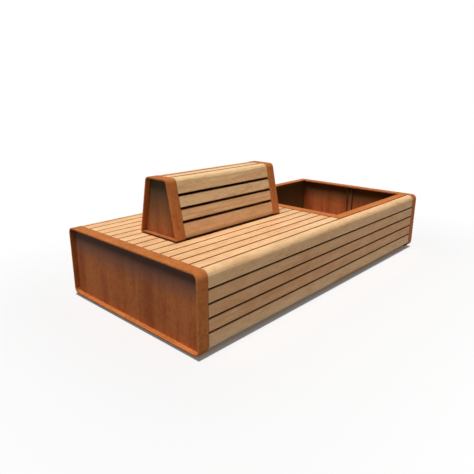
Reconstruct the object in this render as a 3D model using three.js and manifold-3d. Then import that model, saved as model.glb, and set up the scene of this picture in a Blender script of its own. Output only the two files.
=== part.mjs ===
// A long timber bench on a weathering-steel frame, with a low backrest block and a planter at one end.
// Millimetres, +Z up, +X towards the planter. The origin is on the ground, below the middle of the bench.

import * as THREE from "three";
import { mergeVertices } from "three/addons/utils/BufferGeometryUtils.js";
import Module from "manifold-3d";

const wasm = await Module();
wasm.setup();

// Clearances, weld overlap and how far an arc's chords may lie inside it
const seatingGap = 0.3;
const buttGap = 1;
const weldOverlap = 1;
const arcTolerance = 0.3;

// Seat block
const benchLength = 2520;
const benchWidth = 1200;
const frameHeight = 448;
const footHeight = 14;

// End bands and end panels
const bandWidth = 70;
const bandThickness = 10;
const bandRadius = 38;
const panelRecess = 30;
const panelThickness = 6;
const flangeThickness = 5;
const bearingLength = 30;

// Timber
const seatSlatCount = 14;
const sideSlatCount = 4;
const slatThickness = 40;
const slatGap = 8;
const slatEase = 3;
const lowestSlatExtra = 5;
const timberStepBack = 0.5;
const cornerBoardWidth = 50;
const cornerBoardHeight = 94;
const skirtHeight = 36;

// Base rails and feet
const railWidth = 60;
const railHeight = 40;
const railWall = 4;
const railFromSide = 100;
const footRadius = 30;
const footFromEnd = 130;

// Cross ribs
const ribThickness = 6;
const ribCount = 2;
const ribHoleRadius = 95;
const ribHoleCount = 3;

// Planter
const rimStart = 1358;
const rimWidth = 62;
const rimThickness = 6;
const wallThickness = 5;
const nearWallUnderRim = 28;
const longWallFromSide = 75;
const ledgeEndMargin = 12;
const floorThickness = 5;
const drainRadius = 12;
const drainColumns = 3;
const drainRows = 2;
const channelWidth = 52;
const channelDepth = 25;
const channelWall = 4;
const channelBelowTop = 12;
const postWidth = 60;

// Backrest block
const restStart = 243;
const restLength = 943;
const restHeight = 347;
const restLift = 5;
const restTopWidth = 186;
const restBaseWidth = 336;
const restBandWidth = 70;
const restBandThickness = 10;
const restTopRadius = 30;
const restBaseRadius = 7;
const restWeldRadius = 1;
const restRecess = 28;
const restSlatCount = 3;
const restSlatGap = 14;
const restLowestSlatExtra = 23;
const restBoardTopWidth = 47;
const restBoardSlopeWidth = 89;
const restTimberSpan = 346;
const restFlangeSpan = 332;
const packerInset = 9;

// Places that follow from the sizes above
const seatTop = footHeight + frameHeight;
const timberTop = seatTop - timberStepBack;
const timberSide = benchWidth / 2 - timberStepBack;
const timberBottom = footHeight + skirtHeight;
const timberRadius = bandRadius - timberStepBack;
const boardBottom = timberTop - cornerBoardHeight;
const boardInside = timberSide - cornerBoardWidth;
const seatEnd = -benchLength / 2;
const planterEnd = benchLength / 2;
const timberStart = seatEnd + bandWidth + buttGap;
const timberEnd = planterEnd - bandWidth - buttGap;
const seatPanelInside = seatEnd + panelRecess + panelThickness;
const planterPanelInside = planterEnd - panelRecess - panelThickness;
const flangeDepth = bandWidth - panelRecess - panelThickness + bearingLength;
const railBottom = footHeight + bandThickness + seatingGap;
const railTop = railBottom + railHeight;
const railCentre = benchWidth / 2 - railFromSide;
const frameFloor = railTop + seatingGap;
const rimNear = seatEnd + rimStart;
const rimFar = planterEnd - bandWidth - seatingGap;
const rimBottom = timberTop + seatingGap;
const wallFace = rimNear + nearWallUnderRim;
const planterStart = wallFace + wallThickness + seatingGap;
const planterFinish = planterPanelInside - seatingGap;
const longWallOutside = benchWidth / 2 - longWallFromSide;
const longWallInside = longWallOutside - wallThickness;
const floorTop = frameFloor + floorThickness;
const restNear = seatEnd + restStart;
const restFar = restNear + restLength;
const restBase = seatTop + restLift;
const restTop = restBase + restHeight;
const restTimberDepth = timberStepBack + slatThickness;

// Materials: every piece gets one of its own

function steel() {
  return new THREE.MeshStandardMaterial({ color: 0xb3652f, roughness: 0.72, metalness: 0.25 });
}

function innerSteel() {
  return new THREE.MeshStandardMaterial({ color: 0x74482a, roughness: 0.8, metalness: 0.25 });
}

function timber() {
  return new THREE.MeshStandardMaterial({ color: 0xdcae7c, roughness: 0.6, metalness: 0 });
}

function galvanised() {
  return new THREE.MeshStandardMaterial({ color: 0x9aa0a2, roughness: 0.5, metalness: 0.8 });
}

function rubber() {
  return new THREE.MeshStandardMaterial({ color: 0x26262a, roughness: 0.9, metalness: 0 });
}

// Outlines: flat lists of corners that turn anticlockwise

function point(across, up) {
  return new THREE.Vector2(across, up);
}

function rectangle(left, right, bottom, top) {
  return [point(left, bottom), point(right, bottom), point(right, top), point(left, top)];
}

function mirrored(outline) {
  return outline.map((corner) => point(-corner.x, corner.y)).reverse();
}

// Moves every edge of an outline inwards by one distance.
function inset(outline, distance) {
  const edges = outline.map((start, index) => {
    const along = outline[(index + 1) % outline.length].clone().sub(start).normalize();
    const inward = point(-along.y, along.x);
    return { along, from: start.clone().addScaledVector(inward, distance) };
  });
  return edges.map((edge, index) => {
    const before = edges.at(index - 1);
    const reach = edge.from.clone().sub(before.from).cross(edge.along) / before.along.cross(edge.along);
    return before.from.clone().addScaledVector(before.along, reach);
  });
}

// The points of an arc, with chords that stay within the tolerance.
function arc(centre, radius, from, turn) {
  const largestStep = 2 * Math.acos(1 - arcTolerance / radius);
  const steps = Math.ceil(Math.abs(turn) / largestStep);
  return Array.from({ length: steps + 1 }, (_, step) => {
    const angle = from + (turn * step) / steps;
    return point(centre.x + radius * Math.cos(angle), centre.y + radius * Math.sin(angle));
  });
}

// Turns every corner of an outline through an arc, with one radius for each corner.
function rounded(outline, radii) {
  return outline.flatMap((corner, index) => {
    const before = outline.at(index - 1).clone().sub(corner).normalize();
    const after = outline[(index + 1) % outline.length].clone().sub(corner).normalize();
    const halfAngle = before.angleTo(after) / 2;
    const middle = before.clone().add(after).normalize();
    const centre = corner.clone().addScaledVector(middle, radii[index] / Math.sin(halfAngle));
    const tangentReach = radii[index] / Math.tan(halfAngle);
    const start = corner.clone().addScaledVector(before, tangentReach).sub(centre);
    return arc(centre, radii[index], start.angle(), Math.PI - 2 * halfAngle);
  });
}

function eased(outline) {
  return rounded(outline, outline.map(() => slatEase));
}

function circle(centre, radius) {
  return arc(centre, radius, 0, 2 * Math.PI).slice(1);
}

// A channel's section, with its back on the x axis and its two sides standing up from it.
function channelSection(width, depth, wall) {
  const side = width / 2;
  return [
    point(-side, 0),
    point(side, 0),
    point(side, depth),
    point(side - wall, depth),
    point(side - wall, wall),
    point(wall - side, wall),
    point(wall - side, depth),
    point(-side, depth),
  ];
}

// Solids

function extruded(outline, depth, holes = []) {
  const shape = new THREE.Shape(outline);
  shape.holes = holes.map((hole) => new THREE.Path(hole));
  return new THREE.ExtrudeGeometry(shape, { depth, bevelEnabled: false });
}

function solidOf(geometry) {
  const bare = geometry.clone();
  bare.deleteAttribute("normal");
  bare.deleteAttribute("uv");
  const merged = mergeVertices(bare);
  const vertProperties = Float32Array.from(merged.attributes.position.array);
  const triVerts = Uint32Array.from(merged.index.array);
  return new wasm.Manifold(new wasm.Mesh({ numProp: 3, vertProperties, triVerts }));
}

// Joins overlapping shapes into one body.
function welded(geometries) {
  const mesh = geometries.map(solidOf).reduce((sum, next) => sum.add(next)).getMesh();
  const geometry = new THREE.BufferGeometry();
  geometry.setAttribute("position", new THREE.BufferAttribute(mesh.vertProperties, mesh.numProp));
  geometry.setIndex(new THREE.BufferAttribute(mesh.triVerts, 1));
  geometry.computeVertexNormals();
  return geometry;
}

// Groups: in the lengthwise group an outline stands in the bench's YZ plane and its depth runs along +X,
// and in the crosswise group it stands in the XZ plane and its depth runs along -Y

const bench = new THREE.Group();
const crosswise = new THREE.Group();
crosswise.rotation.x = Math.PI / 2;
const lengthwise = new THREE.Group();
lengthwise.rotation.set(Math.PI / 2, 0, Math.PI / 2, "ZYX");
bench.add(crosswise, lengthwise);

function addMesh(parent, name, geometry, material, position, turn = 0) {
  const mesh = new THREE.Mesh(geometry, material);
  mesh.name = name;
  mesh.position.copy(position);
  mesh.rotation.z = turn;
  parent.add(mesh);
}

function addLengthwise(name, geometry, start, material) {
  addMesh(lengthwise, name, geometry, material, new THREE.Vector3(0, 0, start));
}

// A piece with one section all along, from one place on the bench's length to another.
function addLength(name, outline, from, to, material, holes) {
  addLengthwise(name, extruded(outline, to - from, holes), from, material);
}

// An upright or flat piece with its outline in plan, from one height up to another.
function addUpright(name, outline, bottom, top, material, holes) {
  addMesh(bench, name, extruded(outline, top - bottom, holes), material, new THREE.Vector3(0, 0, bottom));
}

// Sections are drawn for the back, at +Y, and mirrored for the front.
const sides = [
  { label: "back", sign: 1, place: (outline) => outline },
  { label: "front", sign: -1, place: mirrored },
];

// Seat frame

function frameOutline(depth) {
  const corners = rectangle(-benchWidth / 2, benchWidth / 2, footHeight, seatTop);
  return rounded(inset(corners, depth), corners.map(() => bandRadius - depth));
}

function addEndBands() {
  const opening = [frameOutline(bandThickness)];
  addLength("end_band_seat", frameOutline(0), seatEnd, seatEnd + bandWidth, steel(), opening);
  addLength("end_band_planter", frameOutline(0), planterEnd - bandWidth, planterEnd, steel(), opening);
}

// The inner faces of the timber, with a step where the corner boards reach further in than the side slats.
const slatInside = timberSide - slatThickness - seatingGap;
const stepHeight = boardBottom - seatingGap;
const slatUnderside = timberTop - slatThickness - seatingGap;

function timberSeat(top) {
  const boardFace = boardInside - seatingGap;
  return [
    point(-slatInside, frameFloor),
    point(slatInside, frameFloor),
    point(slatInside, stepHeight),
    point(boardFace, stepHeight),
    point(boardFace, top),
    point(-boardFace, top),
    point(-boardFace, stepHeight),
    point(-slatInside, stepHeight),
  ];
}

// An outline's walls without its lowest one, as one arched strip.
function arched(outline, wall) {
  const inner = inset(outline, wall);
  const leftFoot = point(inner[0].x, outline[0].y);
  const rightFoot = point(inner[1].x, outline[1].y);
  return [...outline.slice(1), outline[0], leftFoot, ...inner.slice(2).reverse(), rightFoot];
}

// Each end panel is a recessed plate with flanges behind it that the ends of the timber lie on.
function addEndPanels() {
  const plate = extruded(frameOutline(bandThickness + seatingGap), panelThickness);
  const arch = extruded(arched(timberSeat(slatUnderside), flangeThickness), flangeDepth + weldOverlap);
  arch.translate(0, 0, panelThickness - weldOverlap);
  addLengthwise("end_panel_seat", welded([plate, arch]), seatEnd + panelRecess, innerSteel());

  const flange = rectangle(slatInside - flangeThickness, slatInside, frameFloor, stepHeight);
  const flanges = sides.map((side) => {
    return extruded(side.place(flange), flangeDepth + weldOverlap).translate(0, 0, -flangeDepth);
  });
  addLengthwise("end_panel_planter", welded([plate, ...flanges]), planterPanelInside, innerSteel());
}

function addCrossRibs() {
  const holeSpacing = (2 * boardInside) / ribHoleCount;
  const holeHeight = (frameFloor + slatUnderside) / 2;
  const holes = Array.from({ length: ribHoleCount }, (_, index) => {
    const across = (index - (ribHoleCount - 1) / 2) * holeSpacing;
    return circle(point(across, holeHeight), ribHoleRadius);
  });
  const spacing = (wallFace - seatPanelInside) / (ribCount + 1);
  for (let index = 1; index <= ribCount; index += 1) {
    const from = seatPanelInside + index * spacing - ribThickness / 2;
    addLength(`cross_rib_${index}`, timberSeat(slatUnderside), from, from + ribThickness, galvanised(), holes);
  }
}

function addBaseRails() {
  const section = rectangle(railCentre - railWidth / 2, railCentre + railWidth / 2, railBottom, railTop);
  const start = seatPanelInside + seatingGap;
  for (const side of sides) {
    const bore = [side.place(inset(section, railWall))];
    addLength(`base_rail_${side.label}`, side.place(section), start, planterFinish, galvanised(), bore);
  }
}

function addFeet() {
  const ends = [
    { label: "seat", along: seatEnd + footFromEnd },
    { label: "planter", along: planterEnd - footFromEnd },
  ];
  for (const end of ends) {
    for (const side of sides) {
      const outline = circle(point(end.along, side.sign * railCentre), footRadius);
      addUpright(`foot_${end.label}_${side.label}`, outline, 0, railBottom - seatingGap, rubber());
    }
  }
}

// Seat timber

function addSeatSlats() {
  const pitch = (2 * boardInside - slatGap) / seatSlatCount;
  for (let index = 0; index < seatSlatCount; index += 1) {
    const left = slatGap - boardInside + index * pitch;
    const outline = eased(rectangle(left, left + pitch - slatGap, timberTop - slatThickness, timberTop));
    const name = `seat_slat_${String(index + 1).padStart(2, "0")}`;
    addLength(name, outline, timberStart, wallFace - seatingGap, timber());
  }
}

// Splits the stretch below a corner board into slats of one width, and a wider lowest one.
function slatRows(start, end, count, gap, lowestExtra) {
  const pitch = (end - start - lowestExtra + gap) / count;
  return Array.from({ length: count }, (_, row) => {
    const from = start + row * pitch;
    return { from, to: row < count - 1 ? from + pitch - gap : end };
  });
}

function addSideTimber() {
  const board = rounded(
    rectangle(boardInside, timberSide, boardBottom, timberTop),
    [slatEase, slatEase, timberRadius, slatEase],
  );
  const rowsEnd = timberTop - timberBottom;
  const rows = slatRows(cornerBoardHeight + slatGap, rowsEnd, sideSlatCount, slatGap, lowestSlatExtra);
  for (const side of sides) {
    addLength(`corner_board_${side.label}`, side.place(board), timberStart, timberEnd, timber());
    rows.forEach((row, index) => {
      const bottom = timberTop - row.to;
      const top = timberTop - row.from;
      const outline = eased(rectangle(timberSide - slatThickness, timberSide, bottom, top));
      addLength(`${side.label}_slat_${index + 1}`, side.place(outline), timberStart, timberEnd, timber());
    });
  }
}

// Planter

function addPlanterWalls() {
  const wall = extruded(timberSeat(timberTop), wallThickness);
  const ledgeSide = boardInside - ledgeEndMargin;
  const ledgeOutline = rectangle(-ledgeSide, ledgeSide, slatUnderside - flangeThickness, slatUnderside);
  const ledge = extruded(ledgeOutline, bearingLength + weldOverlap).translate(0, 0, -bearingLength);
  addLengthwise("planter_wall_seat", welded([wall, ledge]), wallFace, innerSteel());

  // The long walls are notched where they pass under the end band.
  const underBand = seatTop - bandThickness - seatingGap;
  const longWall = [
    point(planterStart, frameFloor),
    point(planterFinish, frameFloor),
    point(planterFinish, underBand),
    point(rimFar, underBand),
    point(rimFar, timberTop),
    point(planterStart, timberTop),
  ];
  for (const side of sides) {
    const middle = (side.sign * (longWallInside + longWallOutside)) / 2;
    const position = new THREE.Vector3(0, 0, -middle - wallThickness / 2);
    addMesh(crosswise, `planter_wall_${side.label}`, extruded(longWall, wallThickness), innerSteel(), position);
  }
}

function addPlanterFloor() {
  const halfWidth = longWallInside - seatingGap;
  const outline = rectangle(planterStart, planterFinish, -halfWidth, halfWidth);
  const drains = [];
  for (let column = 0; column < drainColumns; column += 1) {
    for (let row = 0; row < drainRows; row += 1) {
      const along = planterStart + ((planterFinish - planterStart) * (column + 1)) / (drainColumns + 1);
      const across = (2 * halfWidth * (row + 1)) / (drainRows + 1) - halfWidth;
      drains.push(circle(point(along, across), drainRadius));
    }
  }
  addUpright("planter_floor", outline, frameFloor, floorTop, innerSteel(), drains);
}

// The upright channel in the middle of the planter's far wall opens towards the seat.
function addWallChannel() {
  const bottom = floorTop + seatingGap;
  const height = seatTop - channelBelowTop - bottom;
  const geometry = extruded(channelSection(channelWidth, channelDepth, channelWall), height);
  const position = new THREE.Vector3(planterFinish, 0, bottom);
  addMesh(bench, "wall_channel", geometry, innerSteel(), position, Math.PI / 2);
}

// Posts between the planter's long walls and the side slats, with their backs on the slats.
function addSidePosts() {
  const depth = slatInside - longWallOutside - seatingGap;
  const section = channelSection(postWidth, depth, channelWall);
  const along = (wallFace + planterPanelInside) / 2;
  for (const side of sides) {
    const position = new THREE.Vector3(along, side.sign * slatInside, frameFloor);
    const turn = side.sign > 0 ? Math.PI : 0;
    const geometry = extruded(section, stepHeight - frameFloor);
    addMesh(bench, `side_post_${side.label}`, geometry, galvanised(), position, turn);
  }
}

// The rim has three sides, and the end band closes the fourth.
function addPlanterRim() {
  const openSide = boardInside - rimWidth;
  const openStart = rimNear + rimWidth;
  const outline = [
    point(rimNear, -boardInside),
    point(rimFar, -boardInside),
    point(rimFar, -openSide),
    point(openStart, -openSide),
    point(openStart, openSide),
    point(rimFar, openSide),
    point(rimFar, boardInside),
    point(rimNear, boardInside),
  ];
  addUpright("planter_rim", outline, rimBottom, rimBottom + rimThickness, steel());
}

// Backrest block: a trapezoid in section

const restCorners = [
  point(-restBaseWidth / 2, restBase),
  point(restBaseWidth / 2, restBase),
  point(restTopWidth / 2, restTop),
  point(-restTopWidth / 2, restTop),
];

// The base corners are welded, so that their insides are nearly sharp.
function restOutline(depth) {
  const base = Math.max(restBaseRadius - depth, restWeldRadius);
  const top = restTopRadius - depth;
  return rounded(inset(restCorners, depth), [base, base, top, top]);
}

// A point on the sloping side: a distance down from the top corner, and a depth below the surface.
function slopePoint(down, depth) {
  const corner = restCorners[2];
  const slope = restCorners[1].clone().sub(corner).normalize();
  const inward = point(slope.y, -slope.x);
  return corner.clone().addScaledVector(slope, down).addScaledVector(inward, depth);
}

// The space inside the backrest's timber, down to the foot of the panels' flanges.
function restInside() {
  const boardEdge = point(restTopWidth / 2 - restBoardTopWidth, restTop - restTimberDepth);
  const right = [slopePoint(restFlangeSpan, restTimberDepth), slopePoint(restBoardSlopeWidth, restTimberDepth)];
  const half = [...right, boardEdge];
  const [leftTop, leftMiddle, leftFoot] = mirrored(half);
  return inset([leftFoot, ...half, leftTop, leftMiddle], seatingGap);
}

function addRestBands() {
  const opening = [restOutline(restBandThickness)];
  const lastStart = restFar - restBandWidth;
  addLength("rest_band_seat", restOutline(0), restNear, restNear + restBandWidth, steel(), opening);
  addLength("rest_band_planter", restOutline(0), lastStart, restFar, steel(), opening);
}

function addRestPanels() {
  const plate = extruded(restOutline(restBandThickness + seatingGap), panelThickness);
  const reach = restBandWidth - restRecess - panelThickness + bearingLength;
  const outline = restInside();
  const opening = [inset(outline, flangeThickness)];
  const flange = extruded(outline, reach + weldOverlap, opening);
  const behind = flange.clone().translate(0, 0, panelThickness - weldOverlap);
  const ahead = flange.clone().translate(0, 0, -reach);
  addLengthwise("rest_panel_seat", welded([plate, behind]), restNear + restRecess, innerSteel());
  addLengthwise("rest_panel_planter", welded([plate, ahead]), restFar - restRecess - panelThickness, innerSteel());
}

// A rib in the middle of the backrest stands on the seat slats.
function addRestRib() {
  const inside = restInside();
  const feet = [inside[0], inside[1]].map((corner) => point(corner.x, timberTop + seatingGap));
  const from = (restNear + restFar - ribThickness) / 2;
  addLength("rest_rib", [...feet, ...inside.slice(1), inside[0]], from, from + ribThickness, galvanised());
}

function addRestPackers() {
  const side = restBaseWidth / 2 - packerInset - restBaseRadius;
  const outline = rectangle(-side, side, timberTop + seatingGap, restBase - seatingGap);
  const length = restBandWidth - 2 * packerInset;
  const starts = { seat: restNear + packerInset, planter: restFar - restBandWidth + packerInset };
  for (const [label, start] of Object.entries(starts)) {
    addLength(`rest_packer_${label}`, outline, start, start + length, rubber());
  }
}

function addRestTimber() {
  const start = restNear + restBandWidth + buttGap;
  const end = restFar - restBandWidth - buttGap;
  const boardEdge = restTopWidth / 2 - restBoardTopWidth;
  const topHeight = restTop - timberStepBack;
  const underside = restTop - restTimberDepth;
  const board = rounded(
    [
      inset(restCorners, timberStepBack)[2],
      point(boardEdge, topHeight),
      point(boardEdge, underside),
      slopePoint(restBoardSlopeWidth, restTimberDepth),
      slopePoint(restBoardSlopeWidth, timberStepBack),
    ],
    [restTopRadius - timberStepBack, slatEase, slatEase, slatEase, slatEase],
  );
  const rowsStart = restBoardSlopeWidth + restSlatGap;
  const rows = slatRows(rowsStart, restTimberSpan, restSlatCount, restSlatGap, restLowestSlatExtra);
  for (const side of sides) {
    addLength(`rest_corner_board_${side.label}`, side.place(board), start, end, timber());
    rows.forEach((row, index) => {
      const outline = eased([
        slopePoint(row.from, timberStepBack),
        slopePoint(row.from, restTimberDepth),
        slopePoint(row.to, restTimberDepth),
        slopePoint(row.to, timberStepBack),
      ]);
      addLength(`rest_slat_${side.label}_${index + 1}`, side.place(outline), start, end, timber());
    });
  }
  const slatSide = boardEdge - restSlatGap;
  addLength("rest_top_slat", eased(rectangle(-slatSide, slatSide, underside, topHeight)), start, end, timber());
}

addEndBands();
addEndPanels();
addCrossRibs();
addBaseRails();
addFeet();
addSeatSlats();
addSideTimber();
addPlanterWalls();
addPlanterFloor();
addWallChannel();
addSidePosts();
addPlanterRim();
addRestBands();
addRestPanels();
addRestRib();
addRestPackers();
addRestTimber();

export default bench;
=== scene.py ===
"""Looks for a long timber bench with a backrest block and a planter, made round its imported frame.

Metres, +Z up, +X towards the planter. The origin is on the ground, below the middle of the bench.
"""

import logging
import math
import random
from collections.abc import Callable, Sequence
from dataclasses import dataclass, field
from enum import Enum

import bmesh
import bpy
from mathutils import Matrix, Vector
from mathutils.geometry import tessellate_polygon


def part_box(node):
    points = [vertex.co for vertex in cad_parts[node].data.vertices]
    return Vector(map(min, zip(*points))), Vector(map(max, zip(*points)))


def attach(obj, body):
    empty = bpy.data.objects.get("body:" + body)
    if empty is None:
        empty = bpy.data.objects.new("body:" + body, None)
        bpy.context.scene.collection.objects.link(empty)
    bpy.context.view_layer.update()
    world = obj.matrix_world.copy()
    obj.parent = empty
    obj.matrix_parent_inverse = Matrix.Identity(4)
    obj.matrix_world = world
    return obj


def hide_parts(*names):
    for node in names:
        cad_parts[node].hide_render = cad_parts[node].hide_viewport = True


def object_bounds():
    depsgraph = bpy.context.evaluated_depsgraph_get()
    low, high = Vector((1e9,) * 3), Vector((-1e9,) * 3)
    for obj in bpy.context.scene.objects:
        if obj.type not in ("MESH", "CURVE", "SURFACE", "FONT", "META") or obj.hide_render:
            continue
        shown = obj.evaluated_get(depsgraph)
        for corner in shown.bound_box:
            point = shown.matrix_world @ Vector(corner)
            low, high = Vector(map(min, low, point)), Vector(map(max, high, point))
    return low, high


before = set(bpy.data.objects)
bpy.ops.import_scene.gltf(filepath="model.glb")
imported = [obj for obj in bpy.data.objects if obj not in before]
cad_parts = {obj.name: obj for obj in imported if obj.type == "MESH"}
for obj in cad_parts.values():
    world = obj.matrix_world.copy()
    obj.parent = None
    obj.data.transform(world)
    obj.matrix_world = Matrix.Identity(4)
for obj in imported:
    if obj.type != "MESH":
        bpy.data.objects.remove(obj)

Point = tuple[float, float]
Triple = tuple[float, float, float]
Colour = Triple
Place = Callable[[float, float, float], Vector]
Output = bpy.types.NodeSocket
Coat = tuple[Output, tuple[float, ...], Colour | Output]

CAD_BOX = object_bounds()
MM = 0.001
WHITE: Colour = (1.0, 1.0, 1.0)
log = logging.getLogger("bench")


class Slot(Enum):
    """The record's material slots."""

    WEATHERING_STEEL = "weathering_steel"
    INNER_STEEL = "inner_steel"
    TIMBER = "timber"
    GALVANISED_STEEL = "galvanised_steel"
    FOOT_RUBBER = "foot_rubber"


class Side(Enum):
    """The bench's two long sides, by the sign of their Y."""

    BACK = 1
    FRONT = -1

    @property
    def label(self) -> str:
        """The side's name in the names of nodes and pieces."""
        return self.name.lower()


class End(Enum):
    """The bench's two short ends, by the sign of their X."""

    SEAT = -1
    PLANTER = 1

    @property
    def label(self) -> str:
        """The end's name in the names of nodes and pieces."""
        return self.name.lower()


# Outlines


@dataclass(frozen=True)
class Outline:
    """A closed outline that turns anticlockwise.

    Attributes:
        points: its corners.
        wear: how much each corner is rubbed, from 0 to 1, or a mark above 1 for a flat inside a
            gap. On timber the marks also set painted shade.
    """

    points: tuple[Point, ...]
    wear: tuple[float, ...]

    def inset(self, distance: float) -> "Outline":
        """Moves every edge of the outline inwards by a distance."""
        return Outline(tuple(drawn_in(self.points, distance)), self.wear)

    def mirrored(self) -> "Outline":
        """The same outline with its first coordinate's sign changed."""
        return Outline(tuple((-x, y) for x, y in reversed(self.points)), self.wear[::-1])

    def for_side(self, side: Side) -> "Outline":
        """The outline for one long side, where it is drawn for the back."""
        return self if side is Side.BACK else self.mirrored()

    def opening(self) -> "Outline":
        """The outline turned round, as the edge of an opening."""
        return Outline(self.points[::-1], self.wear[::-1])


def drawn_in(points: Sequence[Point], distance: float) -> list[Point]:
    """Moves every edge of a closed outline inwards.

    Args:
        points: corners that turn anticlockwise.
        distance: how far each edge moves, in metres.

    Returns:
        The moved corners, as many as before.
    """
    moved = []
    for index, (x, y) in enumerate(points):
        before = Vector((x, y)) - Vector(points[index - 1])
        after = Vector(points[(index + 1) % len(points)]) - Vector((x, y))
        first = Vector((-before.y, before.x)).normalized()
        second = Vector((-after.y, after.x)).normalized()
        shift = (first + second) * (distance / (1 + first.dot(second)))
        moved.append((x + shift.x, y + shift.y))
    return moved


def box_corners(left: float, right: float, bottom: float, top: float) -> list[Point]:
    """The four corners of a rectangle, anticlockwise from the lower left."""
    return [(left, bottom), (right, bottom), (right, top), (left, top)]


# Corners of a smaller radius than this are arrises.
ARRIS = 6 * MM
# How rubbed a larger rounding is beside an arris, and the share of it at the ends of an arc.
ROUNDING_WEAR = 0.35
EDGE_SHARE = 0.4
# The mark of a flat inside a gap, which the timber's finish paints with its darkest painted shade.
HIDDEN_FLAT_SHADE = 2.0


def turned(
    corners: Sequence[Point],
    radii: float | Sequence[float],
    steps: int = 5,
    shoulder: float = 4 * MM,
    hidden: Sequence[int] = (),
) -> Outline:
    """Turns every corner of an outline through an arc.

    Args:
        corners: sharp corners that turn anticlockwise.
        radii: the radius for each corner, or one for all.
        steps: the number of chords in each arc.
        shoulder: how far beside an arc the unworn flat starts, or 0 for no such points.
        hidden: the flats inside a gap, which take painted shade on timber, each by the number of
            the corner where it starts.

    Returns:
        The rounded outline. Its arrises wear most, and on timber they take painted shade.
    """
    if isinstance(radii, float):
        radii = [radii] * len(corners)
    flats = [HIDDEN_FLAT_SHADE if index in hidden else 0.0 for index in range(len(corners))]
    points: list[Point] = []
    wear: list[float] = []
    for index, (corner, radius) in enumerate(zip(corners, radii)):
        here = Vector(corner)
        before = (Vector(corners[index - 1]) - here).normalized()
        after = (Vector(corners[(index + 1) % len(corners)]) - here).normalized()
        half = before.angle(after) / 2
        centre = here + (before + after).normalized() * (radius / math.sin(half))
        reach = radius / math.tan(half)
        start = here + before * reach - centre
        turn = math.pi - 2 * half
        rubbed = 1.0 if radius < ARRIS else ROUNDING_WEAR
        if shoulder:
            points.append(tuple(here + before * (reach + shoulder)))
            wear.append(flats[index - 1])
        for step in range(steps + 1):
            angle = turn * step / steps
            spot = centre + Matrix.Rotation(angle, 2) @ start
            points.append(tuple(spot))
            bulge = math.sin(math.pi * step / steps)
            wear.append(rubbed * (EDGE_SHARE + (1 - EDGE_SHARE) * bulge))
        if shoulder:
            points.append(tuple(here + after * (reach + shoulder)))
            wear.append(flats[index])
    return Outline(tuple(points), tuple(wear))


def disc(across: float, up: float, radius: float, steps: int = 48) -> Outline:
    """A circle as an outline.

    Args:
        across: its middle's first coordinate.
        up: its middle's second coordinate.
        radius: its radius.
        steps: the number of its corners.

    Returns:
        The circle, without wear.
    """
    angles = [2 * math.pi * step / steps for step in range(steps)]
    points = tuple((across + radius * math.cos(a), up + radius * math.sin(a)) for a in angles)
    return Outline(points, (0.0,) * steps)


# Meshes


@dataclass(frozen=True)
class Row:
    """One station of an extrusion.

    Attributes:
        depth: where it lies along the extrusion.
        inset: how far its outline is drawn in.
        wear: how rubbed it is all round, from 0 to 1. On timber the same mark sets painted shade.
    """

    depth: float
    inset: float
    wear: float


def eased_rows(start: float, end: float, ease: float, margin: float = 6 * MM) -> list[Row]:
    """Stations of an extrusion whose two ends have eased edges.

    Args:
        start: where the extrusion starts.
        end: where it ends.
        ease: the size of the eased edge.
        margin: how far from its ends the unworn surface begins.

    Returns:
        The stations in order.
    """
    middle = ease * (1 - math.sqrt(0.5))
    near = [(0.0, ease, 0.3), (middle, middle, 1.0), (ease, 0.0, 0.5)]
    if end - start > 2 * (ease + margin):
        near.append((ease + margin, 0.0, 0.0))
    first = [Row(start + depth, inset, wear) for depth, inset, wear in near]
    last = [Row(end - depth, inset, wear) for depth, inset, wear in reversed(near)]
    return first + last


def standing(across: float, up: float, along: float) -> Vector:
    """Places an outline in the YZ plane, with its depth along +X."""
    return Vector((along, across, up))


def lying(along: float, across: float, up: float) -> Vector:
    """Places an outline in plan, with its depth along +Z."""
    return Vector((along, across, up))


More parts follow.
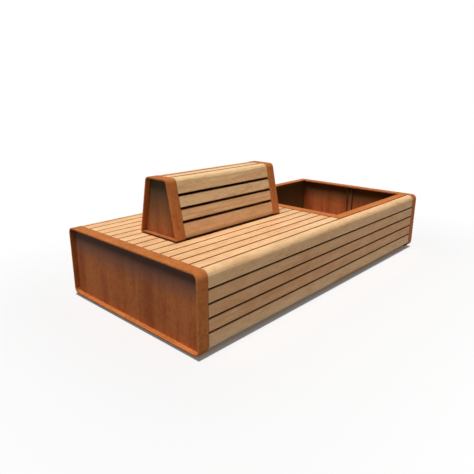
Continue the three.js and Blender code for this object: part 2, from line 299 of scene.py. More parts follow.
@dataclass
class Shell:
    """A mesh in the making: its points, how rubbed they are or how much painted shade they take,
    and its faces.
    """

    points: list[Vector] = field(default_factory=list)
    wear: list[float] = field(default_factory=list)
    faces: list[tuple[int, ...]] = field(default_factory=list)

    def ring(self, places: Sequence[Vector], wear: Sequence[float]) -> list[int]:
        """Adds a ring of points.

        Args:
            places: where they are.
            wear: how rubbed each one is, or how much painted shade it takes.

        Returns:
            Their numbers.
        """
        first = len(self.points)
        self.points.extend(places)
        self.wear.extend(wear)
        return list(range(first, len(self.points)))

    def bridge(self, first: Sequence[int], second: Sequence[int]) -> None:
        """Joins two rings of as many points with quads.

        Args:
            first: the numbers of one ring's points.
            second: those of the other, in the same order.
        """
        for index in range(len(first)):
            after = (index + 1) % len(first)
            self.faces.append((first[index], first[after], second[after], second[index]))

    def cap(self, rings: Sequence[Sequence[int]]) -> None:
        """Closes one end.

        Args:
            rings: the outer ring, then those that bound openings.
        """
        if len(rings) == 1:
            self.faces.append(tuple(rings[0]))
            return
        numbers = [number for ring in rings for number in ring]
        loops = [[self.points[number] for number in ring] for ring in rings]
        for triangle in tessellate_polygon(loops):
            self.faces.append(tuple(numbers[corner] for corner in triangle))

    def extrude(self, outlines: Sequence[Outline], rows: Sequence[Row], place: Place) -> "Shell":
        """Adds one closed body with the same section all along.

        Args:
            outlines: the outer outline, then those of its openings.
            rows: the stations in order.
            place: puts an outline's point and a depth into the frame.

        Returns:
            This shell.
        """
        ends: list[list[list[int]]] = [[], []]
        for outline in outlines:
            rings = []
            for row in rows:
                spots = outline.inset(row.inset).points
                places = [place(x, y, row.depth) for x, y in spots]
                rings.append(self.ring(places, [max(w, row.wear) for w in outline.wear]))
            for first, second in zip(rings, rings[1:]):
                self.bridge(first, second)
            ends[0].append(rings[0])
            ends[1].append(rings[-1])
        self.cap(ends[0])
        self.cap(ends[1])
        return self

    def bend_bar(
        self, outline_at: Callable[[float], Outline], section: Outline, start: float
    ) -> "Shell":
        """Adds a flat bar that is bent round a closed outline.

        Args:
            outline_at: gives the bar's path at a depth below its outer face.
            section: the bar's section, with its width across and its depth up.
            start: where the bar's first edge lies along X.

        Returns:
            This shell.
        """
        paths = [outline_at(depth).points for _, depth in section.points]
        rings = []
        for station in range(len(paths[0])):
            places = []
            for (across, _), path in zip(section.points, paths):
                places.append(standing(*path[station], start + across))
            rings.append(self.ring(places, section.wear))
        for index, ring in enumerate(rings):
            self.bridge(rings[index - 1], ring)
        return self

    def bead(self, start: Vector, end: Vector, radius: float, pitch: float = 6 * MM) -> "Shell":
        """Adds a rippled weld bead between two places.

        Args:
            start: the middle of the bead's first end.
            end: the middle of its last end.
            radius: its largest radius.
            pitch: the length of one ripple.

        Returns:
            This shell.
        """
        sides, waist, tip, taper, rubbed = 8, 0.86, 0.45, 0.75, 0.5
        along = end - start
        count = max(4, 2 * round(along.length / pitch))
        turn = along.to_track_quat("Z", "Y").to_matrix()
        rings = []
        for station in range(count + 1):
            swell = min(1.0, tip + taper * min(station, count - station))
            size = radius * swell * (1.0 if station % 2 else waist)
            circle = disc(0.0, 0.0, size, sides).points
            middle = start + along * (station / count)
            spots = [middle + turn @ Vector((x, y, 0)) for x, y in circle]
            rings.append(self.ring(spots, [rubbed] * sides))
        for first, second in zip(rings, rings[1:]):
            self.bridge(first, second)
        self.cap([rings[0]])
        self.cap([rings[-1]])
        return self

    def piece(self, name: str, smooth_below: float = 32.0) -> bpy.types.Object:
        """Turns the shell into an object with even shading.

        Args:
            name: the new object's name.
            smooth_below: edges that turn by less than this many degrees look round.

        Returns:
            The object, in the scene, with its marks of wear and painted shade kept as an attribute.
        """
        mesh = bpy.data.meshes.new(name)
        mesh.from_pydata([tuple(p) for p in self.points], [], self.faces)
        sketch = bmesh.new()
        sketch.from_mesh(mesh)
        bmesh.ops.recalc_face_normals(sketch, faces=sketch.faces)
        sketch.to_mesh(mesh)
        sketch.free()
        wear = mesh.attributes.new("wear", "FLOAT", "POINT")
        wear.data.foreach_set("value", self.wear)
        mesh.shade_smooth()
        mesh.set_sharp_from_angle(angle=math.radians(smooth_below))
        made = bpy.data.objects.new(name, mesh)
        bpy.context.scene.collection.objects.link(made)
        shading = made.modifiers.new("even shading", "WEIGHTED_NORMAL")
        shading.keep_sharp = True
        return made


# Finishes


def display(red: int, green: int, blue: int) -> Colour:
    """Turns a colour as a screen shows it, from 0 to 255, into the one that a shader takes."""
    shares = [value / 255 for value in (red, green, blue)]
    return tuple(s / 12.92 if s <= 0.04045 else ((s + 0.055) / 1.055) ** 2.4 for s in shares)


class Shading:
    """The nodes of a material or of the surroundings while they are laid out."""

    def __init__(self, owner: bpy.types.Material | bpy.types.World) -> None:
        """Starts with no nodes.

        Args:
            owner: what the nodes are laid out for.
        """
        self.owner = owner
        owner.use_nodes = True
        self.tree = owner.node_tree
        self.tree.nodes.clear()

    def feed(self, socket: Output, value: object) -> None:
        """Links an output into a socket, or sets a plain value on it.

        Args:
            socket: the socket.
            value: the output, number, vector or colour.
        """
        if isinstance(value, Output):
            self.tree.links.new(value, socket)
        elif isinstance(value, tuple) and len(value) == 3 and socket.type == "RGBA":
            socket.default_value = (*value, 1.0)
        else:
            socket.default_value = value

    def node(
        self, kind: str, inputs: dict[str | int, object], **settings: object
    ) -> bpy.types.Node:
        """Adds a node.

        Args:
            kind: the node's type, without its ShaderNode prefix.
            inputs: what goes into its sockets, by name or number.
            settings: its own properties.

        Returns:
            The node.
        """
        made = self.tree.nodes.new(f"ShaderNode{kind}")
        for key, value in settings.items():
            setattr(made, key, value)
        for key, value in inputs.items():
            self.feed(made.inputs[key], value)
        return made

    def place(self) -> Output:
        """A point's place in the frame, in metres."""
        return self.node("TexCoord", {}).outputs["Object"]

    def kept(self, name: str, output: str = "Fac") -> Output:
        """A value that is kept on the mesh, by its attribute's name."""
        return self.node("Attribute", {}, attribute_name=name).outputs[output]

    def stretched(self, vector: Output, scale: Triple) -> Output:
        """A vector with each of its components scaled."""
        return self.node("VectorMath", {0: vector, 1: scale}, operation="MULTIPLY").outputs[0]

    def maths(self, operation: str, first: object, second: object = 0.0) -> Output:
        """One sum on two values."""
        return self.node("Math", {0: first, 1: second}, operation=operation).outputs[0]

    def height(self) -> Output:
        """A point's height above the ground, in metres."""
        return self.node("SeparateXYZ", {0: self.place()}).outputs[2]

    def noise(
        self, vector: Output, scale: float, detail: float = 4.0, roughness: float = 0.55
    ) -> Output:
        """A noise of a scale, from 0 to 1."""
        inputs = {"Vector": vector, "Scale": scale, "Detail": detail, "Roughness": roughness}
        return self.node("TexNoise", inputs).outputs["Fac"]

    def levels(
        self, value: object, low: float, high: float, bottom: float = 0.0, top: float = 1.0
    ) -> Output:
        """Spreads the values between low and high over bottom to top, and holds the rest there."""
        inputs = {0: value, 1: low, 2: high, 3: bottom, 4: top}
        return self.node("MapRange", inputs, clamp=True).outputs[0]

    def blend(self, factor: object, first: object, second: object) -> Output:
        """Mixes two colours by a factor."""
        return self.node("Mix", {0: factor, 6: first, 7: second}, data_type="RGBA").outputs[2]

    def coated(self, colour: Output, coats: Sequence[Coat], share: object = 1.0) -> Output:
        """Lays coats over a colour.

        Args:
            colour: the finish so far.
            coats: each coat's value, the levels that make a share of it, and the coat's colour.
            share: how much of every coat shows.

        Returns:
            The finish with the coats.
        """
        for value, spread, coat in coats:
            cover = self.maths("MULTIPLY", self.levels(value, *spread), share)
            colour = self.blend(cover, colour, coat)
        return colour

    def close(
        self, kind: str, share: Output, first: bpy.types.Node, second: bpy.types.Node
    ) -> None:
        """Mixes two shaders by a share and ends the nodes with them."""
        mixed = self.node("MixShader", {0: share, 1: first.outputs[0], 2: second.outputs[0]})
        self.node(kind, {"Surface": mixed.outputs[0]})

    def seen(self) -> Output:
        """Whether an eye meets the surface, straight or by way of gloss or glass.

        Returns:
            1 if it does, or else 0.
        """
        paths = self.node("LightPath", {}).outputs
        straight_or_gloss = self.maths("MAXIMUM", paths["Is Camera Ray"], paths["Is Glossy Ray"])
        return self.maths("MAXIMUM", straight_or_gloss, paths["Is Transmission Ray"])

    def fading(self, distance: Output, start: float, end: object, most: float = 1.0) -> Output:
        """A share that is whole up to a distance, fades out by another, and is none below 0."""
        share = self.levels(distance, start, end, most, 0.0)
        return self.maths("MULTIPLY", share, self.maths("GREATER_THAN", distance, 0.0))

    def bump(self, height: Output, depth: float, strength: float) -> Output:
        """A normal that follows a height, whose full range is a depth in metres."""
        inputs = {"Height": height, "Distance": depth, "Strength": strength}
        return self.node("Bump", inputs).outputs["Normal"]

    def finished(self, **inputs: object) -> bpy.types.Material:
        """Adds the shader and closes the material.

        Args:
            inputs: what goes into the shader's sockets, by name with spaces as underscores.

        Returns:
            The material.
        """
        named = {key.replace("_", " "): value for key, value in inputs.items()}
        shader = self.node("BsdfPrincipled", named)
        self.node("OutputMaterial", {"Surface": shader.outputs[0]})
        return self.owner


@dataclass(frozen=True)
class Eave:
    """An overhang, and the patina and painted shade that it leaves on the steel below it.

    Attributes:
        height: where the overhang is.
        fade: how far below it the patina is gone.
        patina_and_shade: the colour of the patina and painted shade.
    """

    height: float
    fade: float
    patina_and_shade: Colour


@dataclass(frozen=True)
class WeatheredSteel:
    """Rusted steel: blotches, fine pitting, soft streaks that run down its upright faces, and
    painted shade below overhangs and at the backrest's foot.

    Attributes:
        name: the material's name.
        body: the usual colour.
        deep: the colour of its dark patches and streaks.
        bright: the colour of its fresh patches and rubbed edges.
        streaks: how strong the streaks are.
        rest_foot: the height of the backrest's foot.
        painted_shade: the colour of the painted shade there.
        eaves: the overhangs above it.
        eave_shade_from: how far below an overhang its patina and painted shade start to fade.
        planter_patina_and_shade: the colour of the patina and painted shade inside the planter.
        planter_fade: how far below the rim it is gone on the end walls.
        planter_side_fade: how much further it reaches on the long walls.
        planter_end: where the planter's patina gives way to the outer one, inside the end panel.
        foot_reach: how far above the backrest's foot the painted shade is whole, and where it ends.
        foot_shade_most: how strong that painted shade is.
    """

    name: str
    body: Colour
    deep: Colour
    bright: Colour
    streaks: float
    rest_foot: float
    painted_shade: Colour
    eaves: tuple[Eave, ...] = ()
    eave_shade_from: float = 40 * MM
    planter_patina_and_shade: Colour = display(92, 88, 62)
    planter_fade: float = 185 * MM
    planter_side_fade: float = 800 * MM
    planter_end: Point = (1.226, 1.229)
    foot_reach: Point = (3 * MM, 12 * MM)
    foot_shade_most: float = 0.85

    def lay_patina_and_shade(self, shade: Shading, place: Output, sideways: Output, colour: Output) -> Output:
        """Lays patina and painted shade over a colour below an overhang, and painted shade at the
        backrest's foot.

        Args:
            shade: the material in the making.
            place: the place in the frame.
            sideways: how far a face looks across the bench, from 0 to 1.
            colour: the finish without the patina.

        Returns:
            The finish with it.
        """
        along, _, height = shade.node("SeparateXYZ", {0: place}).outputs
        inside = shade.levels(along, *self.planter_end, 1.0, 0.0)
        planter = shade.maths("MULTIPLY", shade.levels(along, 0.0, 0.1), inside)
        further = shade.levels(sideways, 0.3, 0.9, 0.0, self.planter_side_fade)
        further = shade.maths("MULTIPLY", planter, further)
        # Below each overhang the patina is partly painted shade, and darkest just below the
        # overhang.
        for eave in self.eaves:
            patina_and_shade = shade.blend(planter, eave.patina_and_shade, self.planter_patina_and_shade)
            reach = shade.levels(planter, 0.0, 1.0, eave.fade, self.planter_fade)
            reach = shade.maths("ADD", reach, further)
            below = shade.maths("SUBTRACT", eave.height, height)
            colour = shade.blend(shade.fading(below, self.eave_shade_from, reach), colour, patina_and_shade)
        # Painted contact shade just above the backrest's foot.
        above = shade.maths("SUBTRACT", height, self.rest_foot)
        foot = shade.fading(above, *self.foot_reach, self.foot_shade_most)
        foot = shade.maths("MULTIPLY", foot, shade.maths("LESS_THAN", along, 0.0))
        return shade.blend(foot, colour, self.painted_shade)

    def material(self) -> bpy.types.Material:
        """Lays out the finish.

        Returns:
            The material.
        """
        shade = Shading(bpy.data.materials.new(self.name))
        place = shade.place()
        clouds = shade.noise(place, 5.0, 4.0, 0.55)
        mottle = shade.noise(place, 42.0, 5.0, 0.7)
        run = shade.noise(shade.stretched(place, (7.0, 7.0, 0.6)), 1.0, 5.0, 0.68)
        fine_run = shade.noise(shade.stretched(place, (34.0, 34.0, 3.0)), 1.0, 3.0)
        pits = shade.noise(place, 420.0, 3.0, 0.65)
        facing = shade.node("NewGeometry", {}).outputs["Normal"]
        _, across, up = shade.node("SeparateXYZ", {0: facing}).outputs
        upright = shade.levels(shade.maths("ABSOLUTE", up), 0.2, 0.9, 1.0, 0.0)
        patchy = shade.levels(clouds, 0.35, 0.6, 0.45, 1.0)
        steep = shade.maths("MULTIPLY", shade.maths("MULTIPLY", upright, self.streaks), patchy)
        # Upright faces are made paler, towards the bright colour.
        upright_paler = shade.maths("MULTIPLY", upright, 0.75)
        fresh = shade.maths("MAXIMUM", shade.levels(clouds, 0.35, 0.65, 0.0, 0.6), upright_paler)
        colour = shade.blend(fresh, self.body, self.bright)
        blotches = [
            (mottle, (0.5, 0.72, 0.0, 0.5), self.deep),
            (mottle, (0.28, 0.5, 0.5, 0.0), self.bright),
        ]
        streaks = [
            (run, (0.47, 0.63), self.deep),
            (run, (0.34, 0.46, 1.0, 0.0), self.bright),
            (fine_run, (0.5, 0.72, 0.0, 0.35), self.deep),
        ]
        colour = shade.coated(shade.coated(colour, blotches), streaks, steep)
        colour = shade.coated(colour, [(pits, (0.55, 0.85, 0.0, 0.45), self.deep)])
        rubbed = [(pits, (0.3, 0.6, 0.15, 0.5), self.bright)]
        colour = shade.coated(colour, rubbed, shade.kept("wear"))
        colour = self.lay_patina_and_shade(shade, place, shade.maths("ABSOLUTE", across), colour)
        relief = shade.maths("ADD", pits, shade.maths("MULTIPLY", mottle, 0.6))
        return shade.finished(
            Base_Color=colour,
            Roughness=shade.levels(pits, 0.3, 0.8, 0.62, 0.82),
            Metallic=0.0,
            Specular_IOR_Level=0.05,
            Normal=shade.bump(relief, 0.25 * MM, 0.35),
        )


@dataclass(frozen=True)
class OiledHardwood:
    """Pale oiled hardwood: growth rings round each board's own pith, fibres, a tone for each, and
    painted shade in its gaps and at the backrest's foot.

    Attributes:
        name: the material's name.
        pale: the lightest boards.
        warm: the warmest boards.
        late: the dark side of each growth ring.
        timber_shade: the painted shade on the arrises beside a gap, all over the flats inside it,
            and at the backrest's foot.
        seat_timber_shade: the same painted shade in the seat's gaps, a warm brown.
        seat_top: the height of the seat.
        rest_foot: the height of the backrest's foot, above which the timber is painted darker as
            shade.
        rest_foot_shade: how far up that painted shade reaches.
        rest_foot_shade_most: how strong it is at the foot.
        seat_reach: how far from the seat's surface its painted shade is whole, and where it ends.
    """

    name: str
    pale: Colour
    warm: Colour
    late: Colour
    timber_shade: Colour
    seat_timber_shade: Colour
    seat_top: float
    rest_foot: float
    rest_foot_shade: float = 34 * MM
    rest_foot_shade_most: float = 0.7
    seat_reach: Point = (3 * MM, 9 * MM)

    def material(self) -> bpy.types.Material:
        """Lays out the finish.

        Returns:
            The material.
        """
        shade = Shading(bpy.data.materials.new(self.name))
        grain = shade.kept("grain", "Vector")
        tone = shade.kept("tone")
        rings = shade.node(
            "TexWave",
            {
                "Vector": shade.stretched(grain, (0.06, 1.0, 1.0)),
                "Scale": 62.0,
                "Distortion": 5.0,
                "Detail": 2.0,
                "Detail Scale": 0.35,
            },
            wave_type="RINGS",
            rings_direction="X",
            wave_profile="SAW",
        ).outputs["Fac"]
        fibres = shade.noise(shade.stretched(grain, (9.0, 420.0, 420.0)), 1.0, 4.0, 0.6)
        bands = shade.noise(shade.stretched(grain, (0.7, 22.0, 22.0)), 1.0, 3.0)
        pores = shade.noise(shade.stretched(grain, (45.0, 900.0, 900.0)), 1.0, 2.0)
        figure = shade.noise(shade.stretched(grain, (4.5, 16.0, 16.0)), 1.0, 5.0, 0.65)
        flecks = shade.noise(shade.stretched(grain, (24.0, 150.0, 150.0)), 1.0, 3.0, 0.6)
        wear = shade.kept("wear")
        height = shade.height()
        # Painted shade: dark brown in the gaps, and warm brown near the seat's surface.
        off_seat = shade.maths("ABSOLUTE", shade.maths("SUBTRACT", self.seat_top, height))
        on_seat = shade.levels(off_seat, *self.seat_reach, 1.0, 0.0)
        timber_shade = shade.blend(on_seat, self.timber_shade, self.seat_timber_shade)
        coats = [
            (bands, (0.35, 0.75, 0.0, 0.5), self.warm),
            (figure, (0.5, 0.72, 0.0, 0.45), self.late),
            (figure, (0.3, 0.5, 0.5, 0.0), self.pale),
            (flecks, (0.5, 0.72, 0.0, 0.4), self.late),
            (rings, (0.35, 1.0, 0.0, 0.32), self.late),
            (fibres, (0.45, 0.8, 0.0, 0.4), self.late),
            (pores, (0.66, 0.8, 0.0, 0.5), self.late),
            # Painted shade on the arrises beside the gaps and over the flats inside them.
            (wear, (0.38, 0.85, 0.0, 0.75), timber_shade),
            (wear, (1.0, 1.6), timber_shade),
        ]
        colour = shade.coated(shade.blend(tone, self.pale, self.warm), coats)
        # Painted shade, darker towards the backrest's foot.
        above = shade.maths("SUBTRACT", height, self.rest_foot)
        rest_foot_shade = shade.fading(above, 0.0, self.rest_foot_shade, self.rest_foot_shade_most)
        colour = shade.blend(rest_foot_shade, colour, self.timber_shade)
        sheen = shade.levels(fibres, 0.3, 0.8, 0.5, 0.68)
        relief = shade.maths("ADD", fibres, shade.maths("MULTIPLY", rings, 0.5))
        return shade.finished(
            Base_Color=colour,
            Roughness=shade.maths("MAXIMUM", sheen, shade.levels(wear, 0.2, 0.6)),
            Metallic=0.0,
            Specular_IOR_Level=0.15,
            Normal=shade.bump(relief, 0.2 * MM, 0.3),
        )


@dataclass(frozen=True)
class Galvanised:
    """Dull zinc with the faint crystals of a hot dip, painted dark as shade inside the backrest.

    Attributes:
        name: the material's name.
        light: the lightest crystals.
        dark: the darkest crystals.
        painted_shade: the painted shade that darkens them inside the backrest.
        rest_foot: the height where the backrest starts.
        fade: the height over which the painted shade begins.
    """

    name: str
    light: Colour
    dark: Colour
    painted_shade: Colour
    rest_foot: float
    fade: float = 20 * MM

    def material(self) -> bpy.types.Material:
        """Lays out the finish.

        Returns:
            The material.
        """
        shade = Shading(bpy.data.materials.new(self.name))
        place = shade.place()
        crystals = shade.node("TexVoronoi", {"Vector": place, "Scale": 95.0}).outputs["Color"]
        value = shade.node("SeparateColor", {0: crystals}).outputs[0]
        stain = shade.noise(place, 14.0, 5.0)
        height = shade.height()
        # Stains, then painted shade over everything above the backrest's foot.
        coats = [
            (stain, (0.5, 0.8, 0.0, 0.4), self.dark),
            (height, (self.rest_foot, self.rest_foot + self.fade, 0.0, 0.95), self.painted_shade),
        ]
        colour = shade.coated(shade.blend(value, self.light, self.dark), coats)
        return shade.finished(
            Base_Color=colour,
            Roughness=shade.levels(value, 0.0, 1.0, 0.6, 0.75),
            Metallic=0.4,
            Normal=shade.bump(value, 0.1 * MM, 0.2),
        )


@dataclass(frozen=True)
class Rubber:
    """Matt black rubber with dust in its grain.

    Attributes:
        name: the material's name.
        body: its colour.
        dust: the colour of the dust.
    """

    name: str
    body: Colour
    dust: Colour

    def material(self) -> bpy.types.Material:
        """Lays out the finish.

        Returns:
            The material.
        """
        shade = Shading(bpy.data.materials.new(self.name))
        place = shade.place()
        grit = shade.noise(place, 700.0, 3.0)
        dusty = shade.noise(place, 30.0, 5.0)
        colour = shade.blend(shade.levels(dusty, 0.45, 0.8, 0.0, 0.5), self.body, self.dust)
        return shade.finished(
            Base_Color=colour,
            Roughness=shade.levels(grit, 0.3, 0.7, 0.75, 0.95),
            Specular_IOR_Level=0.25,
            Normal=shade.bump(grit, 0.15 * MM, 0.4),
        )


@dataclass
class Workshop:
    """Keeps one material for each slot, and hands finished pieces to the frame."""

    materials: dict[Slot, bpy.types.Material]
    made: list[str] = field(default_factory=list)

    def hand_over(
        self, shell: Shell, name: str, slot: Slot, stands_for: Sequence[str] = ()
    ) -> bpy.types.Object:
        """Makes a shell into a piece of the bench.

        Args:
            shell: the piece's mesh in the making.
            name: the piece's name.
            slot: the material slot that it takes its finish from.
            stands_for: the CAD nodes that it is shown for.

        Returns:
            The piece.
        """
        piece = shell.piece(name)
        piece.data.materials.append(self.materials[slot])
        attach(piece, "root")
        if stands_for:
            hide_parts(*stands_for)
        self.made.append(name)
        log.info("made %s in %s", name, slot.value)
        return piece

    def dress(self, node: str, slot: Slot) -> None:
        """Gives a CAD node that stays in sight the finish of its slot.

        Args:
            node: the node.
            slot: its slot.
        """
        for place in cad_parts[node].material_slots:
            place.material = self.materials[slot]
        log.info("dressed %s in %s", node, slot.value)


# How warm each board towards the front is, from 0 for pale to 1 for warm. The others draw theirs.
# On the backrest's front slope the tones grow warmer and darker downwards as painted shade.
BOARD_TONES_AND_SHADE = {
    "seat_slat_01": 0.4,
    "seat_slat_02": 0.8,
    "seat_slat_03": 0.6,
    "seat_slat_04": 0.65,
    "seat_slat_05": 0.55,
    "corner_board_front": 0.35,
    "front_slat_1": 0.8,
    "front_slat_2": 1.0,
    "front_slat_3": 1.0,
    "front_slat_4": 0.3,
    # Painted shade: warmer and darker down the backrest's slope.
    "rest_corner_board_front": 0.0,
    "rest_slat_front_1": 0.0,
    "rest_slat_front_2": 0.5,
    "rest_slat_front_3": 0.8,
}


@dataclass
class TimberStack:
    """Cuts boards and gives each one its tone and its own place in the log.

    Attributes:
        workshop: takes the boards.
        dice: draws each board's place in the log and its tone.
        chamfer: the size of the eased edges at a board's ends.
        log_length: how far apart along the grain boards may lie.
        pith: the least and the most that the log's middle lies beside a board's.
        tones: the palest and the warmest tone that is drawn.
    """

    workshop: Workshop
    dice: random.Random = field(default_factory=lambda: random.Random(11))
    chamfer: float = 1.5 * MM
    log_length: float = 20.0
    pith: Point = (0.05, 0.19)
    tones: Point = (0.4, 1.0)

    def board(self, node: str, outline: Outline, start: float, end: float) -> None:
        """Makes one board in the place of its CAD node.

        Args:
            node: the CAD node that it stands for.
            outline: the board's section in the YZ plane.
            start: where it starts along X.
            end: where it ends.
        """
        shell = Shell().extrude([outline], eased_rows(start, end, self.chamfer), standing)
        piece = self.workshop.hand_over(shell, f"{node}_board", Slot.TIMBER, [node])
        middle = Vector((0.0, *(sum(parts) / len(parts) for parts in zip(*outline.points))))
        reach = self.dice.uniform(*self.pith)
        angle = self.dice.uniform(0, 2 * math.pi)
        pith = middle + Vector((0.0, math.cos(angle), math.sin(angle))) * reach
        pith.x = self.dice.uniform(-self.log_length, self.log_length)
        tone = BOARD_TONES_AND_SHADE.get(node, self.dice.uniform(*self.tones))
        mesh = piece.data
        grain = mesh.attributes.new("grain", "FLOAT_VECTOR", "POINT")
        flat = [value for vertex in mesh.vertices for value in (vertex.co - pith)]
        grain.data.foreach_set("vector", flat)
        kept = mesh.attributes.new("tone", "FLOAT", "POINT")
        kept.data.foreach_set("value", [tone] * len(mesh.vertices))


# The bench


@dataclass(frozen=True)
class FlatBar:
    """The flat steel bar that every band is bent from."""

    width: float = 70 * MM
    thickness: float = 10 * MM
    ease: float = 1.2 * MM
    ease_steps: int = 3
    shoulder: float = 2.5 * MM

    def section(self) -> Outline:
        """The bar's section with eased edges."""
        corners = box_corners(0.0, self.width, 0.0, self.thickness)
        return turned(corners, self.ease, self.ease_steps, self.shoulder)

    def bend(
        self,
        workshop: Workshop,
        stem: str,
        path: Callable[[float], Outline],
        starts: dict[End, float],
    ) -> None:
        """Makes the bands at the two ends of a block, and dresses the panels inside them.

        Args:
            workshop: takes the bands.
            stem: what the names of the block's nodes start with.
            path: gives the bands' outline at a depth below their outer face.
            starts: where each band starts along X.
        """
        for end, start in starts.items():
            node = f"{stem}_band_{end.label}"
            band = Shell().bend_bar(path, self.section(), start)
            workshop.hand_over(band, f"{node}_bar", Slot.WEATHERING_STEEL, [node])
            workshop.dress(f"{stem}_panel_{end.label}", Slot.INNER_STEEL)


@dataclass(frozen=True)
class BenchSizes:
    """The sizes that several parts of the bench share."""

    length: float = 2520 * MM
    width: float = 1200 * MM
    foot_height: float = 14 * MM
    frame_height: float = 448 * MM
    bar: FlatBar = FlatBar()
    band_radius: float = 38 * MM
    seating_gap: float = 0.3 * MM
    butt_gap: float = 1 * MM
    timber_step_back: float = 0.5 * MM
    slat_thickness: float = 40 * MM
    slat_ease: float = 3 * MM
    rest_lift: float = 5 * MM
    rest_height: float = 347 * MM

    @property
    def seat_top(self) -> float:
        """The top of the end bands."""
        return self.foot_height + self.frame_height

    @property
    def rest_top(self) -> float:
        """The top of the backrest's bands."""
        return self.seat_top + self.rest_lift + self.rest_height

    @property
    def timber_top(self) -> float:
        """The top of the seat's timber."""
        return self.seat_top - self.timber_step_back

    @property
    def timber_side(self) -> float:
        """How far the side timber stands from the bench's long middle plane."""
        return self.width / 2 - self.timber_step_back

    @property
    def timber_radius(self) -> float:
        """The radius along the corner boards."""
        return self.band_radius - self.timber_step_back

    @property
    def seat_end(self) -> float:
        """The bench's end on the seat side."""
        return -self.length / 2

    @property
    def planter_end(self) -> float:
        """The bench's end on the planter side."""
        return self.length / 2


@dataclass
class EndFrames:
    """The bent bands round the bench's two ends, and the recessed panels inside them."""

    sizes: BenchSizes
    workshop: Workshop
    bend_steps: int = 16

    def path(self, depth: float) -> Outline:
        """The band's outline below its outer face.

        Args:
            depth: how far below it.

        Returns:
            The outline in the YZ plane.
        """
        half = self.sizes.width / 2
        corners = box_corners(-half, half, self.sizes.foot_height, self.sizes.seat_top)
        radius = self.sizes.band_radius - depth
        return turned(drawn_in(corners, depth), radius, self.bend_steps, 0.0)

    def build(self) -> None:
        """Makes both bands and dresses both panels."""
        bar = self.sizes.bar
        last = self.sizes.planter_end - bar.width
        starts = {End.SEAT: self.sizes.seat_end, End.PLANTER: last}
        bar.bend(self.workshop, "end", self.path, starts)


@dataclass
class SeatTimber:
    """The seat slats, the rounded corner boards and the side slats."""

    sizes: BenchSizes
    stack: TimberStack
    seat_slats: int = 14
    side_slats: int = 4
    slat_gap: float = 8 * MM
    lowest_slat_extra: float = 5 * MM
    board_width: float = 50 * MM
    board_height: float = 94 * MM
    board_shoulder: float = 1.5 * MM
    round_steps: int = 10
    skirt_height: float = 36 * MM
    seat_length_end: float = 125.7 * MM

    @property
    def start(self) -> float:
        """Where all the timber starts."""
        return self.sizes.seat_end + self.sizes.bar.width + self.sizes.butt_gap

    @property
    def board_inside(self) -> float:
        """How far the corner boards' inner edges stand from the long middle plane."""
        return self.sizes.timber_side - self.board_width

    def eased(self, corners: Sequence[Point], shown: int) -> Outline:
        """A slat's section with its arrises, of which one flat is in sight and the others take
        painted shade.
        """
        hidden = [index for index in range(len(corners)) if index != shown]
        return turned(corners, self.sizes.slat_ease, hidden=hidden)

    def build_seat(self) -> None:
        """Makes the slats of the seat."""
        top = self.sizes.timber_top
        bottom = top - self.sizes.slat_thickness
        pitch = (2 * self.board_inside - self.slat_gap) / self.seat_slats
        for index in range(self.seat_slats):
            left = self.slat_gap - self.board_inside + index * pitch
            corners = box_corners(left, left + pitch - self.slat_gap, bottom, top)
            node = f"seat_slat_{index + 1:02d}"
            self.stack.board(node, self.eased(corners, 2), self.start, self.seat_length_end)

    def build_sides(self) -> None:
        """Makes the corner boards and the side slats."""
        sizes = self.sizes
        top = sizes.timber_top
        end = sizes.planter_end - sizes.bar.width - sizes.butt_gap
        corners = box_corners(self.board_inside, sizes.timber_side, top - self.board_height, top)
        radii = [sizes.slat_ease, sizes.slat_ease, sizes.timber_radius, sizes.slat_ease]
        corner_board = turned(corners, radii, self.round_steps, self.board_shoulder, (0, 3))
        bottom = sizes.foot_height + self.skirt_height
        first = top - self.board_height - self.slat_gap
        pitch = (first - bottom - self.lowest_slat_extra + self.slat_gap) / self.side_slats
        for side in Side:
            node = f"corner_board_{side.label}"
            self.stack.board(node, corner_board.for_side(side), self.start, end)
            for row in range(self.side_slats):
                upper = first - row * pitch
                lower = bottom if row == self.side_slats - 1 else upper - pitch + self.slat_gap
                inner = sizes.timber_side - sizes.slat_thickness
                slat = self.eased(box_corners(inner, sizes.timber_side, lower, upper), 1)
                node = f"{side.label}_slat_{row + 1}"
                self.stack.board(node, slat.for_side(side), self.start, end)

    def build(self) -> None:
        """Makes all the timber below the backrest."""
        self.build_seat()
        self.build_sides()


